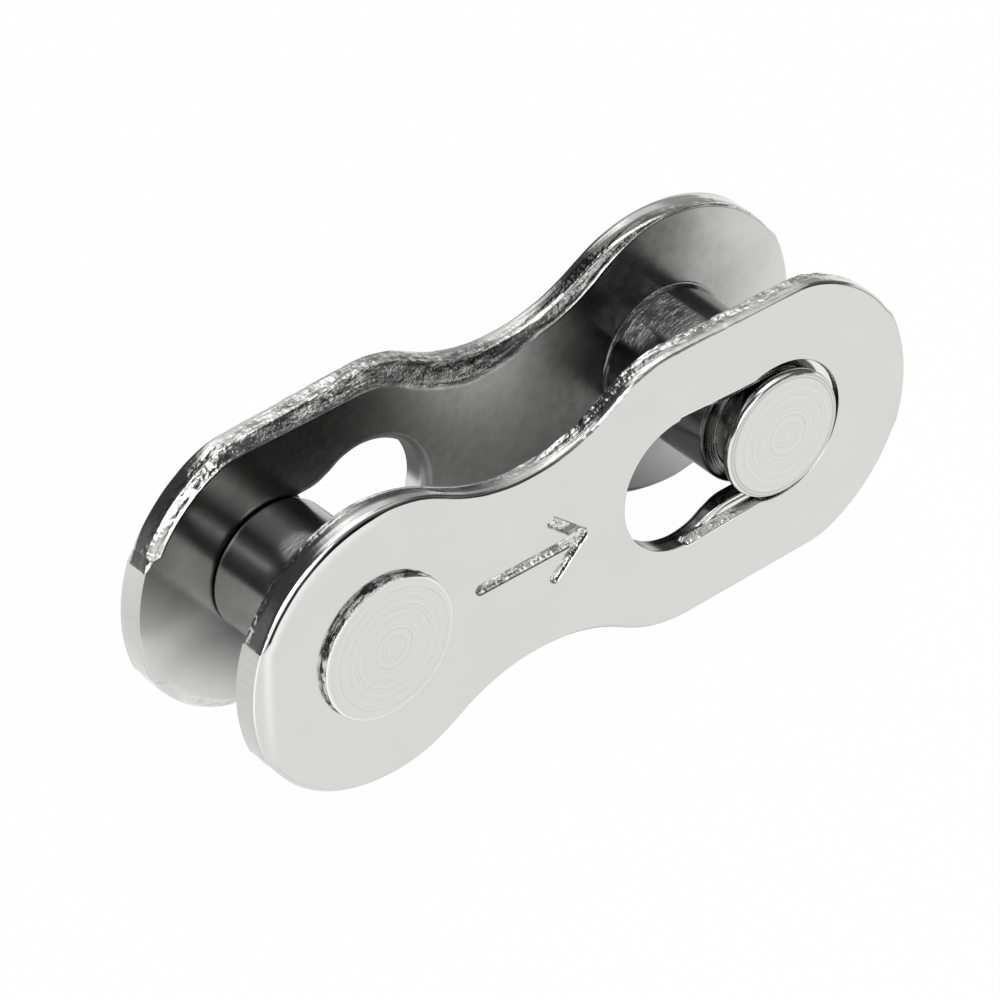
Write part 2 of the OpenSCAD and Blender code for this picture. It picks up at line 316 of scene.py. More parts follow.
# How the edge changes along the upper outline, from the keyhole end's tip to the lobe's tip. Each row is
# a place, an offset past it in millimetres, and the value there: for the bevel its width and its depth.
BEVEL_ROWS = [
    ("corner", -0.06, PLAIN_W, PLAIN_W), ("corner", 0.1, BEVEL_W, BEVEL_D), ("flank", 0, BEVEL_W, BEVEL_D),
    ("crest", 0, (BEVEL_W + RAMP_W) / 2, (BEVEL_D + RAMP_D) / 2), ("ramp", 0, RAMP_W, RAMP_D),
    ("waist", -1.2, RAMP_W, RAMP_D), ("waist", 0.9, BEVEL_W, BEVEL_D), ("lobe", 0, BEVEL_W, BEVEL_D),
    ("side", 0, PLAIN_W, PLAIN_W),
]
EDGE_ROWS = {
    "bevel_w": [(place, past, width) for place, past, width, _ in BEVEL_ROWS],
    "bevel_d": [(place, past, depth) for place, past, _, depth in BEVEL_ROWS],
    "roll_w": [("start", 0, 0.05), ("flank", 0, 0.04), ("flank", 1.5, 0.05), ("crest", 0, 0.08),
        ("ramp", 1, 0.08), ("waist", 0, 0.05), ("side", -1.5, 0.05), ("side", 0.5, 0.09),
        ("cap", -0.3, 0.08), ("cap", 0, 0.035)],
    "roll_h": [("flank", 0, 0.05), ("flank", 1, 0.085), ("crest", 0, 0.085), ("ramp", 1, 0.07),
        ("waist", 0, 0.05), ("lobe", 0, 0.05), ("side", 0.5, 0.07), ("cap", -0.3, 0.06), ("cap", 0, 0.035)],
    # This row sets the step and width of the seam at the outer face, and a dark line of painted shade
    # there.
    "seam": [("start", 0, 0), ("corner", 0, 0.5), ("flank", 0, 0.5), ("flank", 1.5, 0.2), ("crest", 0, 0.2),
        ("ramp", 1, 0.3), ("waist", 0, 0.6), ("lobe", 2, 0.7), ("side", 0, 1), ("cap", -0.2, 1),
        ("cap", 0, 0)],
    # Painted highlight on the roll of the outer edge.
    "flash": [("flank", 0, 0), ("flank", 1.5, 0.5), ("crest", 0, 0.9), ("ramp", 1, 0.8), ("waist", 0, 0.2),
        ("lobe", 0, 0), ("side", -1.5, 0.1), ("side", 0.5, 0.6), ("cap", 0, 0.9)],
    # Painted highlight as a soft glow on the outer face beside the edge, and how far in it lies.
    "glow": [("side", -1, 0), ("side", 0.5, 0.5), ("cap", 0, 0.7), ("tip", 0, 0.45)],
    "glow_at": [("start", 0, 0.1), ("cap", -0.5, 0.08), ("cap", 0.8, 0.36), ("tip", 0, 0.42)],
    # Painted light at the bevel's lip: a dark line of painted shade, then a painted highlight line.
    "lip": [("corner", 0, 0), ("corner", 0.3, 0.75), ("flank", -0.5, 0.6), ("flank", 1.5, 0.3),
        ("crest", 0, 0.2), ("waist", 0, 0), ("waist", 1.8, 0.8), ("lobe", 1.5, 0.8), ("lobe", 2.4, 0.3),
        ("side", 0, 0.8), ("cap", 0, 0)],
    "beads": [("start", 0, 1), ("round", 2.5, 0.8), ("flank", 0, 0.6), ("flank", 2.5, 0.4),
        ("crest", 0, 0.5), ("waist", 0, 0.1), ("side", 0, 0.1), ("cap", -0.5, 1)],
    "crush": [("corner", -0.1, 0), ("corner", 0.1, 0.4), ("corner", 0.4, 0.14), ("round", 1, 0.26),
        ("round", 1.9, 0.5), ("round", 2.7, 0.6), ("flank", 0, 0.5), ("flank", 1.5, 0.6), ("crest", 0, 1),
        ("waist", -1, 1), ("waist", 0, 0.5), ("lobe", 0, 0.45), ("lobe", 2.5, 0.4), ("side", 0, 0.35),
        ("cap", -0.6, 0.4), ("cap", -0.15, 0.45), ("cap", 0, 0)],
    "bevel_crush": [("flank", 2, 1), ("crest", 0, 0.6), ("ramp", 0, 0.6), ("waist", 0, 0.8),
        ("lobe", 0, 0.8), ("tip", 0, 1)],
    "burnish": [("start", 0, 1), ("corner", 0, 0.62), ("round", 2.5, 0.6), ("flank", 0, 0.3),
        ("flank", 1.5, 0.1), ("crest", 0, 0.05), ("waist", 0, 0.3), ("lobe", 0, 0.4), ("side", 0, 0.6),
        ("cap", 0, 1)],
    # Painted shade that darkens the bevel.
    "dull": [("crest", 0, 0), ("ramp", 0.5, 0.6), ("waist", 0, 0.6), ("waist", 1, 0.2),
        ("waist", 2, 0.5), ("lobe", 1.2, 0.5), ("lobe", 2.4, 0)],
    # Painted shade that darkens the wall above its foot.
    "wall_dull": [("waist", 0.6, 0), ("waist", 1.5, 0.8), ("lobe", 2.2, 0.8), ("side", 0.5, 0.1),
        ("tip", 0, 0)],
    # Painted highlight at the foot of the wall, where the wall is also less torn.
    "border": [("waist", 0.8, 0), ("waist", 1.8, 1), ("lobe", 2.2, 1), ("side", 0.2, 0)],
    "streak": [("start", 0, 1), ("corner", 0, 0.2), ("cap", -0.5, 0.2), ("cap", 0, 1)],
}


def edge_values(length, places):
    """Each edge value at every station of the whole outline, which mirrors the upper edge."""
    values = {}
    for label, rows in EDGE_ROWS.items():
        upper = np.interp(length, [places[p] + past for p, past, _ in rows], [v for _, _, v in rows])
        values[label] = np.concatenate([upper, upper[-2:0:-1]])
    return SimpleNamespace(**values)


# Stations on each side over which the outline and its normals are averaged, and the distance from the
# bevel's ends within which the outline stays sharp
OUTLINE_EASE = 9
NORMAL_EASE = 5
SHARP_REACH = 0.5


def eased(points, length, places):
    """Closed outline with its bends eased, but sharp where the bevel starts."""
    sharp = np.minimum(np.abs(length - places["corner"]), np.abs(length - places["cap"]))
    share = np.clip((sharp - SHARP_REACH) / SHARP_REACH, 0, 1)[:, None]
    return points + share * (settle(points, OUTLINE_EASE) - points)


# Edge values that fade on the plate's lower side, among them painted highlights and dark lines of painted
# shade: (value, height they fade over, least share)
LOWER_SIDE = [("crush", 0.6, 0.35), ("lip", 0.6, 0), ("seam", 0.6, 0.15), ("flash", 2, 0), ("glow", 2, 0)]

# Rings where the inner face meets the bevel: (share of the bevel's width, inset past it, height, crush,
# painted light: a dark line of painted shade, then a painted highlight). A bevel of this depth or more
# has the whole height, and the lip ends at LIP_H.
LIP_RINGS = [(1, 0.14, 0, 0, 0), (1, 0.05, 0, 0, 0), (1, 0.03, 0, 0, -1), (1, 0.008, 0.002, 0.1, -1),
             (0.96, 0, 0.012, 0.2, 1), (0.9, 0, 0.022, 0.3, 1)]
LIP_BEVEL_D = 0.2
LIP_H = 0.012

# Rings across the bevel, up the torn wall, up the burnished wall and round the roll, as shares of the
# way, and rings on the outer face, in millimetres past the seam
BEVEL_SHARES = np.linspace(0.16, 0.9, 10)
WALL_SHARES = (0.03, *np.linspace(0.1, 1, 11))
BURNISH_SHARES = (0.3, 0.7)
ROLL_SHARES = (0, 0.08, 0.3, 0.5, 0.7, 0.92)
FACE_RINGS = (0.018, 0.06, 0.14, 0.22, 0.30, 0.38, 0.46, 0.54, 0.64)

# Shares: hollow of the bevel, the wall's foot that takes the border's painted highlight, most of the wall
# that is burnished, and bulge of the roll. The spread of the painted glow on the face is in millimetres.
BEVEL_HOLLOW = 0.22
BORDER_SHARE = 0.25
BURNISH_PART = 0.9
ROLL_BULGE = 0.14
GLOW_SPREAD = 0.13

# Ragged roll, beads and grooves: length and width of a grain. Dents: depth and how much it varies.
RAGGED_GRAIN = 0.4
RAGGED = 0.4
BEAD_GRAIN = (0.16, 0.12)
GROOVE_GRAIN = (1.1, 0.09)
DENT_DEPTH = 0.030
DENT_SWING = 0.036
BEAD_SWING = 0.018


def edge_rings(v, ragged):
    """Inset, height, crush and painted light of each edge ring, from the inner face to the outer face."""
    roll_w = v.roll_w * ragged
    step = 0.014 + 0.02 * v.seam
    roll_low = PLATE_T - v.roll_h * ragged - step
    crush_high = roll_low - BURNISH_PART * v.burnish * (roll_low - v.bevel_d)
    seam_w = 0.012 + 0.045 * v.seam ** 2
    lip_h = np.minimum(1, v.bevel_d / LIP_BEVEL_D)
    rings = []

    def ring(inset, height, crush=0, shine=0):
        rings.append([np.broadcast_to(value, ragged.shape) for value in (inset, height, crush, shine)])

    # The last value of each ring is painted light: highlight lines, a glow on the face, and dark lines and
    # darker bands of painted shade.
    for share, past, height, crush, shine in LIP_RINGS:
        ring(v.bevel_w * share + past, height * lip_h, crush * v.crush, shine * v.lip)
    for f in BEVEL_SHARES:
        hollow = 1 - BEVEL_HOLLOW * math.sin(math.pi * f)
        ring(v.bevel_w * (1 - f), LIP_H * lip_h + v.bevel_d * f * hollow,
             v.crush * v.bevel_crush, -v.dull)
    ring(0.02 * v.bevel_w, v.bevel_d - 0.001, (1 - 0.7 * v.border) * v.crush, v.border)
    for f in WALL_SHARES:
        ring(0, v.bevel_d + f * (crush_high - v.bevel_d), v.crush * (1 - f**6),
             np.where(f < BORDER_SHARE, v.border, -v.wall_dull))
    for f in BURNISH_SHARES:
        ring(0, crush_high + f * (roll_low - crush_high), 0.2 * v.crush)
    for f in ROLL_SHARES:
        lift = (PLATE_T - step - roll_low) * (f + ROLL_BULGE * math.sin(math.pi * f))
        ring(roll_w * f, roll_low + lift, 0.05 * v.crush, v.flash * (f > 0.05))
    ring(roll_w, PLATE_T - step, 0, -v.seam)
    ring(roll_w + 0.6 * seam_w, PLATE_T - 0.6 * step, 0, -v.seam)
    ring(roll_w + seam_w, PLATE_T - 0.002, 0, -v.seam)
    for past in FACE_RINGS:
        glow = v.glow * np.exp(-(((past - v.glow_at) / GLOW_SPREAD) ** 2))
        ring(roll_w + seam_w + past, PLATE_T, 0, glow)
    return np.array(rings).swapaxes(0, 1)


def edge_skin(skin):
    """Edge of the plate, with its rings and its dents. Returns the numbers of its points."""
    upper, normals, length, places = upper_outline()
    mirror = np.array([1, -1])
    whole = np.concatenate([length, length[-2:0:-1]])
    points = eased(np.vstack([upper, upper[-2:0:-1] * mirror]), whole, places)
    normals = settle(np.vstack([normals, normals[-2:0:-1] * mirror]), NORMAL_EASE)
    normals /= np.linalg.norm(normals, axis=1)[:, None]
    v = edge_values(length, places)
    below = np.clip(-points[:, 1], 0, None)
    for label, reach, least in LOWER_SIDE:
        vars(v)[label] *= np.maximum(1 - below / reach, least)
    run = np.arange(len(points)) * EDGE_STEP
    ragged = 1 + RAGGED * np.clip(v.crush - 0.2, 0, 1) * grains(run / RAGGED_GRAIN, 0, 3.5)
    inset, height, crush, shine = edge_rings(v, ragged)
    strides = np.hypot(np.diff(inset, axis=0, prepend=inset[:1]), np.diff(height, axis=0, prepend=0))
    across = np.cumsum(strides, axis=0)
    bead = grains(run / BEAD_GRAIN[0], across / BEAD_GRAIN[1], 1.5)
    groove = grains(run / GROOVE_GRAIN[0], across / GROOVE_GRAIN[1], 7.5)
    pattern = v.beads * bead + (1 - v.beads) * (0.3 * bead + groove)
    dent = np.clip(crush * (DENT_DEPTH + (DENT_SWING + BEAD_SWING * v.beads) * pattern), 0, None)
    on_bevel = (inset > 0.02) & (height < v.bevel_d)
    inset = inset + dent * np.where(on_bevel, 0.5, 1)
    height = height + np.where(on_bevel, 0.8, 0) * dent
    placed = lifted(points - inset[..., None] * normals, height)
    numbers = skin.add(placed, np.clip(1.4 * crush, 0, 1), v.streak * (inset < 0.03), shine)
    skin.grid(numbers)
    return numbers


# Coined recess: length of its sides from the wide hole's centre, and where its floor narrows. The edge
# is eased within a reach of the slot's corners, and both eases count stations on each side.
RECESS_SIDE = 2.4
SLOPE_START = 0.35
SLOPE_RUN = 0.3
CORNER_REACH = 0.5
CORNER_EASE = 8
MATCH_EASE = 4


def keyhole_loops():
    """Keyhole edge, recess floor's edge and recess edge, clockwise, and which stations have no recess."""
    recess_top = RECESS_HALF_W + RECESS_FLARE
    meet = math.degrees(math.acos((HOLE_C[0] + RECESS_SIDE - LOCK_C[0]) / RECESS_END_R))
    meet_p = LOCK_C + RECESS_END_R * heading(meet)
    tip = HOLE_C + [0, recess_top]
    outer = np.vstack([
        line(tip, meet_p, HOLE_STEP)[0],
        arc(LOCK_C, RECESS_END_R, meet, -meet, HOLE_STEP)[0],
        line(meet_p * [1, -1], tip * [1, -1], HOLE_STEP)[0],
        tip * [1, -1],
    ])
    slope = np.clip((LOCK_C[0] - SLOPE_START - outer[:, 0]) / SLOPE_RUN, 0, 1)
    floor = outer - np.stack([0 * slope, np.sign(outer[:, 1]) * slope * RECESS_SLOPE], 1)
    corner = math.degrees(math.asin(SLOT_HALF_W / WIDE_HOLE_R))
    slot_start = HOLE_C + WIDE_HOLE_R * heading(corner)
    seat_top = LOCK_C + [0, SLOT_HALF_W]
    path = np.vstack([
        arc(HOLE_C, WIDE_HOLE_R, 90, corner, PATH_STEP)[0],
        line(slot_start, seat_top, PATH_STEP)[0],
        arc(LOCK_C, SLOT_HALF_W, 90, -90, PATH_STEP)[0],
        line(seat_top * [1, -1], slot_start * [1, -1], PATH_STEP)[0],
        arc(HOLE_C, WIDE_HOLE_R, -corner, -90, PATH_STEP)[0],
        HOLE_C - [0, WIDE_HOLE_R],
    ])
    inner = matched(path, outer)
    left = arc(HOLE_C, WIDE_HOLE_R, -90, -270, HOLE_STEP)[0][1:]
    free = np.arange(len(inner) + len(left)) >= len(inner)
    edge = np.vstack([inner, left])
    for corner_p in (slot_start, slot_start * [1, -1]):
        near = np.exp(-((np.linalg.norm(edge - corner_p, axis=1) / CORNER_REACH) ** 2))[:, None]
        edge = edge + near * (settle(edge, CORNER_EASE) - edge)
    return edge, np.vstack([floor, left]), np.vstack([outer, left]), free


def matched(path, partner):
    """Points along a dense path, one for each partner point, spread as the nearest ones lie."""
    steps = np.concatenate([[0], np.cumsum(np.linalg.norm(np.diff(path, axis=0), axis=1))])
    near = np.array([steps[np.argmin(np.linalg.norm(path - p, axis=1))] for p in partner])
    near = np.maximum.accumulate(near)
    near[0], near[-1] = 0, steps[-1]
    padded = np.pad(near, MATCH_EASE, mode="edge")
    window = 2 * MATCH_EASE + 1
    near = np.convolve(padded, np.ones(window) / window, "valid")
    near[0], near[-1] = 0, steps[-1]
    near = near + np.arange(len(near)) * 1e-6
    return np.stack([np.interp(near, steps, path[:, 0]), np.interp(near, steps, path[:, 1])], 1)


def loop_normals(loop):
    """Normals of a clockwise loop, which point away from the hole."""
    along = np.roll(loop, -1, axis=0) - np.roll(loop, 1, axis=0)
    along /= np.maximum(np.linalg.norm(along, axis=1)[:, None], 1e-9)
    normals = settle(np.stack([-along[:, 1], along[:, 0]], 1), 1)
    return normals / np.linalg.norm(normals, axis=1)[:, None]


# Rings of the keyhole. Broken edge: (inset past the bevel, height). Floor's start: (way out, drop).
# Floor and recess wall: shares of the way. Recess edge: (way out, drop, crush, painted highlight). The
# slot's walls get painted shade, the recess floor a painted highlight, and the recess wall a little painted
# shade.
BROKEN_RINGS = [(0.1, 0), (0.02, 0), (-0.005, 0.006)]
FLOOR_START = [(0, 0.03), (0.012, 0.012), (0.035, 0.003), (0.07, 0), (0.1, 0)]
FLOOR_SHARES = (0.3, 0.42, 0.54, 0.66, 0.78, 0.88, 0.98)
RECESS_SHARES = (0.06, 0.2, 0.36, 0.52, 0.68, 0.84, 0.97)
RECESS_RINGS = [(0.008, 0.006, 0.3, 1), (0.03, 0, 0, 0.8), (0.05, 0, 0, 0), (0.09, 0, 0, 0)]
WALL_RINGS = 5
SLOT_SHADE = 0.8
FLOOR_HIGHLIGHT = 0.5


def keyhole_skin(skin):
    """Walls, coined recess and broken edges of the keyhole. Returns its guard loops on both faces."""
    inner, floor, outer, free = keyhole_loops()
    floor_h = PLATE_T - RECESS_D
    spread, away = loop_normals(inner), loop_normals(outer)
    from_hole = np.linalg.norm(inner - HOLE_C, axis=1)
    bevel = settle(np.clip(WIDE_HOLE_R + HOLE_BEVEL - from_hole, 0.03, HOLE_BEVEL), 6)
    in_slot = np.clip((inner[:, 0] - HOLE_C[0] + 1.2) / 0.6, 0, 1)
    wall_crush = np.clip((LOCK_C[0] - 0.9 - outer[:, 0]) / 0.8, 0, 1) * ~free
    rings = []

    def ring(flat, height, crush=0, shine=0):
        values = [np.broadcast_to(value, free.shape) for value in (height, crush, shine)]
        rings.append(np.column_stack([flat, *values]))

    # The last value of the rings is painted light: painted shade on the slot's walls and a little on the
    # recess wall, and painted highlights on the recess floor and along the recess edge.
    for past, height in BROKEN_RINGS:
        ring(inner + spread * (bevel + past)[:, None], height)
    ring(inner + spread * 0.01, bevel - 0.005, 0.1)
    for f in np.linspace(0, 1, WALL_RINGS):
        ring(inner, (bevel + 0.02) * (1 - f) + (floor_h - 0.06) * f, 0.06, -SLOT_SHADE * in_slot)
    span = floor - inner
    width = np.linalg.norm(span, axis=1)
    lean = span / np.maximum(width, 1e-9)[:, None]
    count = len(FLOOR_START) + len(FLOOR_SHARES) + len(RECESS_SHARES)
    free_heights = iter(np.linspace(floor_h - 0.04, PLATE_T - 0.02, count))
    for out, drop in FLOOR_START:
        reach = np.minimum(out, 0.8 * width)[:, None]
        height = np.where(free, next(free_heights), floor_h - drop)
        ring(inner + lean * reach, height, 0, FLOOR_HIGHLIGHT * ~free)
    for f in FLOOR_SHARES:
        reach = np.maximum(np.minimum(0.1, 0.8 * width), width * f)[:, None]
        height = np.where(free, next(free_heights), floor_h + RECESS_SWEEP * (f - 0.1) / 0.88)
        ring(inner + lean * reach, height, 0.1 * ~free * f**4, FLOOR_HIGHLIGHT * ~free)
    for f in RECESS_SHARES:
        recess_h = floor_h + RECESS_SWEEP + f * (RECESS_D - RECESS_SWEEP - 0.02)
        height = np.where(free, next(free_heights), recess_h)
        ring(floor + f * (outer - floor), height, wall_crush * (0.25 + 0.35 * f), -0.3 * wall_crush)
    for out, drop, crush, shine in RECESS_RINGS:
        ring(outer + away * out, PLATE_T - drop, crush * wall_crush, shine * wall_crush)
    table = np.stack(rings)
    flat = table[..., :2]
    height, crush, shine = np.moveaxis(table[..., 2:], -1, 0)
    base = lifted(flat, height)
    shift = crush * (0.022 * speckle(base, 0.1) + 0.012 * speckle(base, 0.05))
    wall = (height > floor_h + RECESS_SWEEP) & (height < PLATE_T - 0.01)
    flat = flat + np.where(wall, shift, 0)[..., None] * away
    numbers = skin.add(lifted(flat, height), np.clip(crush, 0, 1), shine=shine)
    skin.grid(numbers)
    return numbers[0], numbers[-1]


def shank_skin(skin):
    """Wall of the hole that the pin's shank fills. Returns its loops on both faces."""
    wall, guard = (arc(RIVET_C, r, 180, -180, SHANK_TURN * r)[0] for r in (SHANK_R, SHANK_R + 0.12))
    loops = [lifted(guard, 0), lifted(wall, 0), lifted(wall, PLATE_T), lifted(guard, PLATE_T)]
    numbers = skin.add(np.stack(loops))
    skin.grid(numbers)
    return numbers


# Stamped mark, a plain arrow along the chain, in millimetres: middle, length, reach of its barbs, half the
# width of a stroke, depth, width of its wall, swell of the metal round it, and border of its patch
MARK_C = np.array([-1.62, 0.08])
MARK_LEN = 3.3
MARK_BARB = np.array([0.95, 0.86])
MARK_STROKE = 0.145
MARK_DEPTH = 0.12
MARK_EDGE = 0.05
MARK_SWELL = 0.004
MARK_MARGIN = 0.35


def mark_depth(flat):
    """Depth of the stamped arrow at flat points, and how far each point is sunk, from 0 to 1."""
    tail = MARK_C - [MARK_LEN / 2, 0]
    head = MARK_C + [MARK_LEN / 2, 0]
    strokes = [(tail, head), (head, head - MARK_BARB), (head, head - MARK_BARB * [1, -1])]
    away = np.full(flat.shape[:-1], np.inf)
    for start, end in strokes:
        run = end - start
        f = np.clip(((flat - start) @ run) / (run @ run), 0, 1)
        away = np.minimum(away, np.linalg.norm(flat - start - f[..., None] * run, axis=-1))
    inside_edge = np.clip((MARK_STROKE + MARK_EDGE / 2 - away) / MARK_EDGE, 0, 1)
    sunk = inside_edge**2 * (3 - 2 * inside_edge)
    swell = MARK_SWELL * np.exp(-(((away - MARK_STROKE - 0.08) / 0.05) ** 2))
    base = lifted(flat, 0)
    grain = 0.038 * speckle(base, 0.085) + 0.02 * speckle(base, 0.045, 1)
    return sunk * (MARK_DEPTH + grain) - swell * (1 - sunk), sunk


def mark_skin(skin):
    """Patch of the outer face that holds the stamped arrow. Returns its border."""
    reach = np.array([MARK_LEN / 2, MARK_BARB[1]]) + MARK_MARGIN
    counts = np.ceil(2 * reach / MARK_STEP).astype(int)
    x, z = (np.linspace(MARK_C[k] - reach[k], MARK_C[k] + reach[k], counts[k]) for k in (0, 1))
    flat = np.stack(np.meshgrid(x, z), -1)
    depth, sunk = mark_depth(flat)
    numbers = skin.add(lifted(flat, PLATE_T - depth), sunk)
    skin.grid(numbers, closed=False)
    return np.concatenate([numbers[0, :-1], numbers[:-1, -1], numbers[-1, :0:-1], numbers[:0:-1, 0]])


def plate_skin():
    """One stamped plate, lying flat with its inner face at h = 0."""
    skin = Skin()
    edge = edge_skin(skin)
    hole_inner, hole_outer = keyhole_skin(skin)
    shank = shank_skin(skin)
    mark = mark_skin(skin)
    flat = np.concatenate(skin.points)[:, [0, 2]]
    skin.fill(flat, edge[0], [hole_inner, shank[0]], upward=False)
    skin.fill(flat, edge[-1], [hole_outer, shank[-1], mark], upward=True)
    return skin


# Rounded edges of the pin's shoulder and riveted head, the painted highlight line round its lock head's
# rounded rim, as (angle, spread) in degrees, and the size of the grains on its torn rim
SHOULDER_ROUND = 0.1
RIVET_ROUND = 0.06
GLINT = (48, 17)
RIM_GRAIN = (0.36, 0.09, 0.36)


def pin_profile():
    """Rows of radius, height, crush and painted light along the pin, from its lock head to its riveted
    head.
    """
    foot = -GAP - PLATE_T - HEAD_PROUD
    groove = foot + HEAD_T
    shoulder = -GAP + SHOULDER_CLEAR
    top = PLATE_T + RIVET_PROUD
    rim = HEAD_R - HEAD_ROUND
    # The last value of each row is painted light: painted highlights on the rounded rims, and dark lines of
    # painted shade round the lock head, in its groove, at the shoulder, in the fillet at the plate and on
    # the rivet's side.
    rows = [(r, foot, 0, 0) for r in np.linspace(0.02, rim - 0.08, 26)]
    rows += [(rim - 0.045, foot, 0, -0.25), (rim - 0.02, foot + 0.002, 0, -0.25)]
    rows += [(rim, foot + 0.006, 0, 0.5)]
    for a in np.radians(np.linspace(6, 84, 10)):
        reach = HEAD_R - HEAD_ROUND * (1 - math.sin(a))
        glint = math.exp(-(((math.degrees(a) - GLINT[0]) / GLINT[1]) ** 2))
        rows.append((reach, foot + HEAD_ROUND * (1 - math.cos(a)), 0.1, 1.2 * glint - 0.3))
    rows += [(HEAD_R, foot + HEAD_ROUND + 0.02, 0.1, -0.3), (HEAD_R - 0.01, groove - 0.03, 0.1, -0.6)]
    rows += [(HEAD_R - 0.05, groove, 0, -0.8), (NECK_R + 0.05, groove, 0, -0.6)]
    rows += [(NECK_R + 0.01, groove + 0.015, 0, -0.4)]
    rows += [(NECK_R, h, 0, 0) for h in np.linspace(groove + 0.05, shoulder - 0.04, 16)]
    rows += [(NECK_R + 0.01, shoulder - 0.01, 0, -0.6), (NECK_R + 0.05, shoulder, 0, -0.6)]
    rows += [(PIN_R - 0.11, shoulder, 0, -0.9), (PIN_R - 0.09, shoulder + 0.002, 0, -0.95)]
    for a in np.radians(np.linspace(10, 80, 5)):
        reach = PIN_R - SHOULDER_ROUND + SHOULDER_ROUND * math.sin(a)
        rows.append((reach, shoulder + SHOULDER_ROUND * (1 - math.cos(a)), 0.05, -1.15 * math.cos(a)))
    rows += [(PIN_R, h, 0, 0) for h in np.linspace(shoulder + 0.12, -FOOT_R - 0.02, 60)]
    for a in np.radians(np.linspace(10, 80, 6)):
        rows.append((PIN_R + FOOT_R * (1 - math.cos(a)), -FOOT_R * (1 - math.sin(a)), 0, -0.5))
    rows += [(PIN_R + FOOT_R, -0.004, 0, 0), (SHANK_R, 0, 0, 0), (SHANK_R, PLATE_T, 0, 0)]
    rows += [(RIVET_R - 0.06, PLATE_T, 0.5, -0.8), (RIVET_R - 0.01, PLATE_T + 0.012, 0.9, -0.6)]
    for f in np.linspace(0, 1, 6):
        height = PLATE_T + 0.03 + f * (RIVET_PROUD - 0.09)
        rows.append((RIVET_R - 0.005 - 0.03 * f, height, 1 - 0.4 * f, -0.45 + 0.4 * f))
    for a in np.radians(np.linspace(75, 5, 6)):
        height = top - RIVET_ROUND * (1 - math.cos(a))
        rows.append((RIVET_R - 0.095 + RIVET_ROUND * math.sin(a), height, 0.15, math.sin(2 * a)))
    rows += [(r, top, 0, 0) for r in np.linspace(RIVET_R - 0.14, 0.02, 28)]
    return np.array(rows)


def pin_skin():
    """One turned pin, standing on the axis of its own plate's hole."""
    skin = Skin()
    profile = pin_profile()
    turn = np.radians(np.arange(PIN_STATIONS) * 360 / PIN_STATIONS)
    ray = np.stack([np.cos(turn), np.sin(turn)], 1)
    radius, height, crush, shine = np.repeat(profile.T[..., None], PIN_STATIONS, 2)
    base = lifted(RIVET_C + radius[..., None] * ray, height)
    radius = radius - crush * np.clip(0.02 + 0.045 * speckle(base, RIM_GRAIN), 0, None)
    numbers = skin.add(lifted(RIVET_C + radius[..., None] * ray, height), 0.5 * crush, shine=shine)
    skin.grid(numbers)
    ends = skin.add(lifted(np.array([RIVET_C, RIVET_C]), profile[[0, -1], 1]))
    for k in range(PIN_STATIONS):
        following = (k + 1) % PIN_STATIONS
        skin.faces.append([int(ends[0]), int(numbers[0, following]), int(numbers[0, k])])
        skin.faces.append([int(ends[1]), int(numbers[-1, k]), int(numbers[-1, following])])
    return skin


# Names that add() takes as settings of the node, and as numbered inputs
NODE_SETTINGS = ("operation", "attribute_name", "interpolation_type", "node_tree")
NUMBERED = ("i0", "i1", "i2")


def add(tree, kind, **inputs):
    """Adds a node and sets its inputs: a node output is linked, and any other value is written."""
    node = tree.nodes.new(kind)
    for name, value in inputs.items():
        if name in NODE_SETTINGS:
            setattr(node, name, value)
            continue
        socket = node.inputs[NUMBERED.index(name) if name in NUMBERED else name]
        if isinstance(value, bpy.types.NodeSocket):
            tree.links.new(value, socket)
        else:
            socket.default_value = value
    return node


def maths(tree, operation, a, b=0):
    """Output of one Math node."""
    return add(tree, "ShaderNodeMath", operation=operation, i0=a, i1=b).outputs[0]


def times(tree, a, b):
    """Product of two values."""
    return maths(tree, "MULTIPLY", a, b)


def plus(tree, a, b):
    """Sum of two values."""
    return maths(tree, "ADD", a, b)


def vectors(tree, operation, a, b, output="Vector"):
    """Output of one Vector Math node."""
    return add(tree, "ShaderNodeVectorMath", operation=operation, i0=a, i1=b).outputs[output]


def scaled(tree, place, factors):
    """Vector stretched along each axis."""
    return vectors(tree, "MULTIPLY", place, factors)


def split(tree, place):
    """Coordinates of a vector."""
    return add(tree, "ShaderNodeSeparateXYZ", Vector=place).outputs


def cloud(tree, place, scale, detail, roughness=0.5):
    """Value of one Noise Texture."""
    return add(tree, "ShaderNodeTexNoise", Vector=place, Scale=scale, Detail=detail,
               Roughness=roughness).outputs["Fac"]


def mix(tree, share, low, high):
    """Value between low and high by a share."""
    inputs = {"Value": share, "To Min": low, "To Max": high}
    return add(tree, "ShaderNodeMapRange", **inputs).outputs["Result"]


def soft_step(tree, value, start, stop):
    """Smooth rise from 0 to 1 as a value goes from start to stop."""
    inputs = {"Value": value, "From Min": start, "From Max": stop}
    return add(tree, "ShaderNodeMapRange", interpolation_type="SMOOTHSTEP", **inputs).outputs["Result"]


def new_group(name, inputs, outputs):
    """Empty shader node group, with its inputs' first values and the names of its outputs."""
    tree = bpy.data.node_groups.new(name, "ShaderNodeTree")
    for label, value in inputs.items():
        kind = "NodeSocketVector" if isinstance(value, tuple) else "NodeSocketFloat"
        tree.interface.new_socket(label, in_out="INPUT", socket_type=kind).default_value = value
    for label in outputs:
        tree.interface.new_socket(label, in_out="OUTPUT", socket_type="NodeSocketFloat")
    return tree, tree.nodes.new("NodeGroupInput").outputs, tree.nodes.new("NodeGroupOutput").inputs


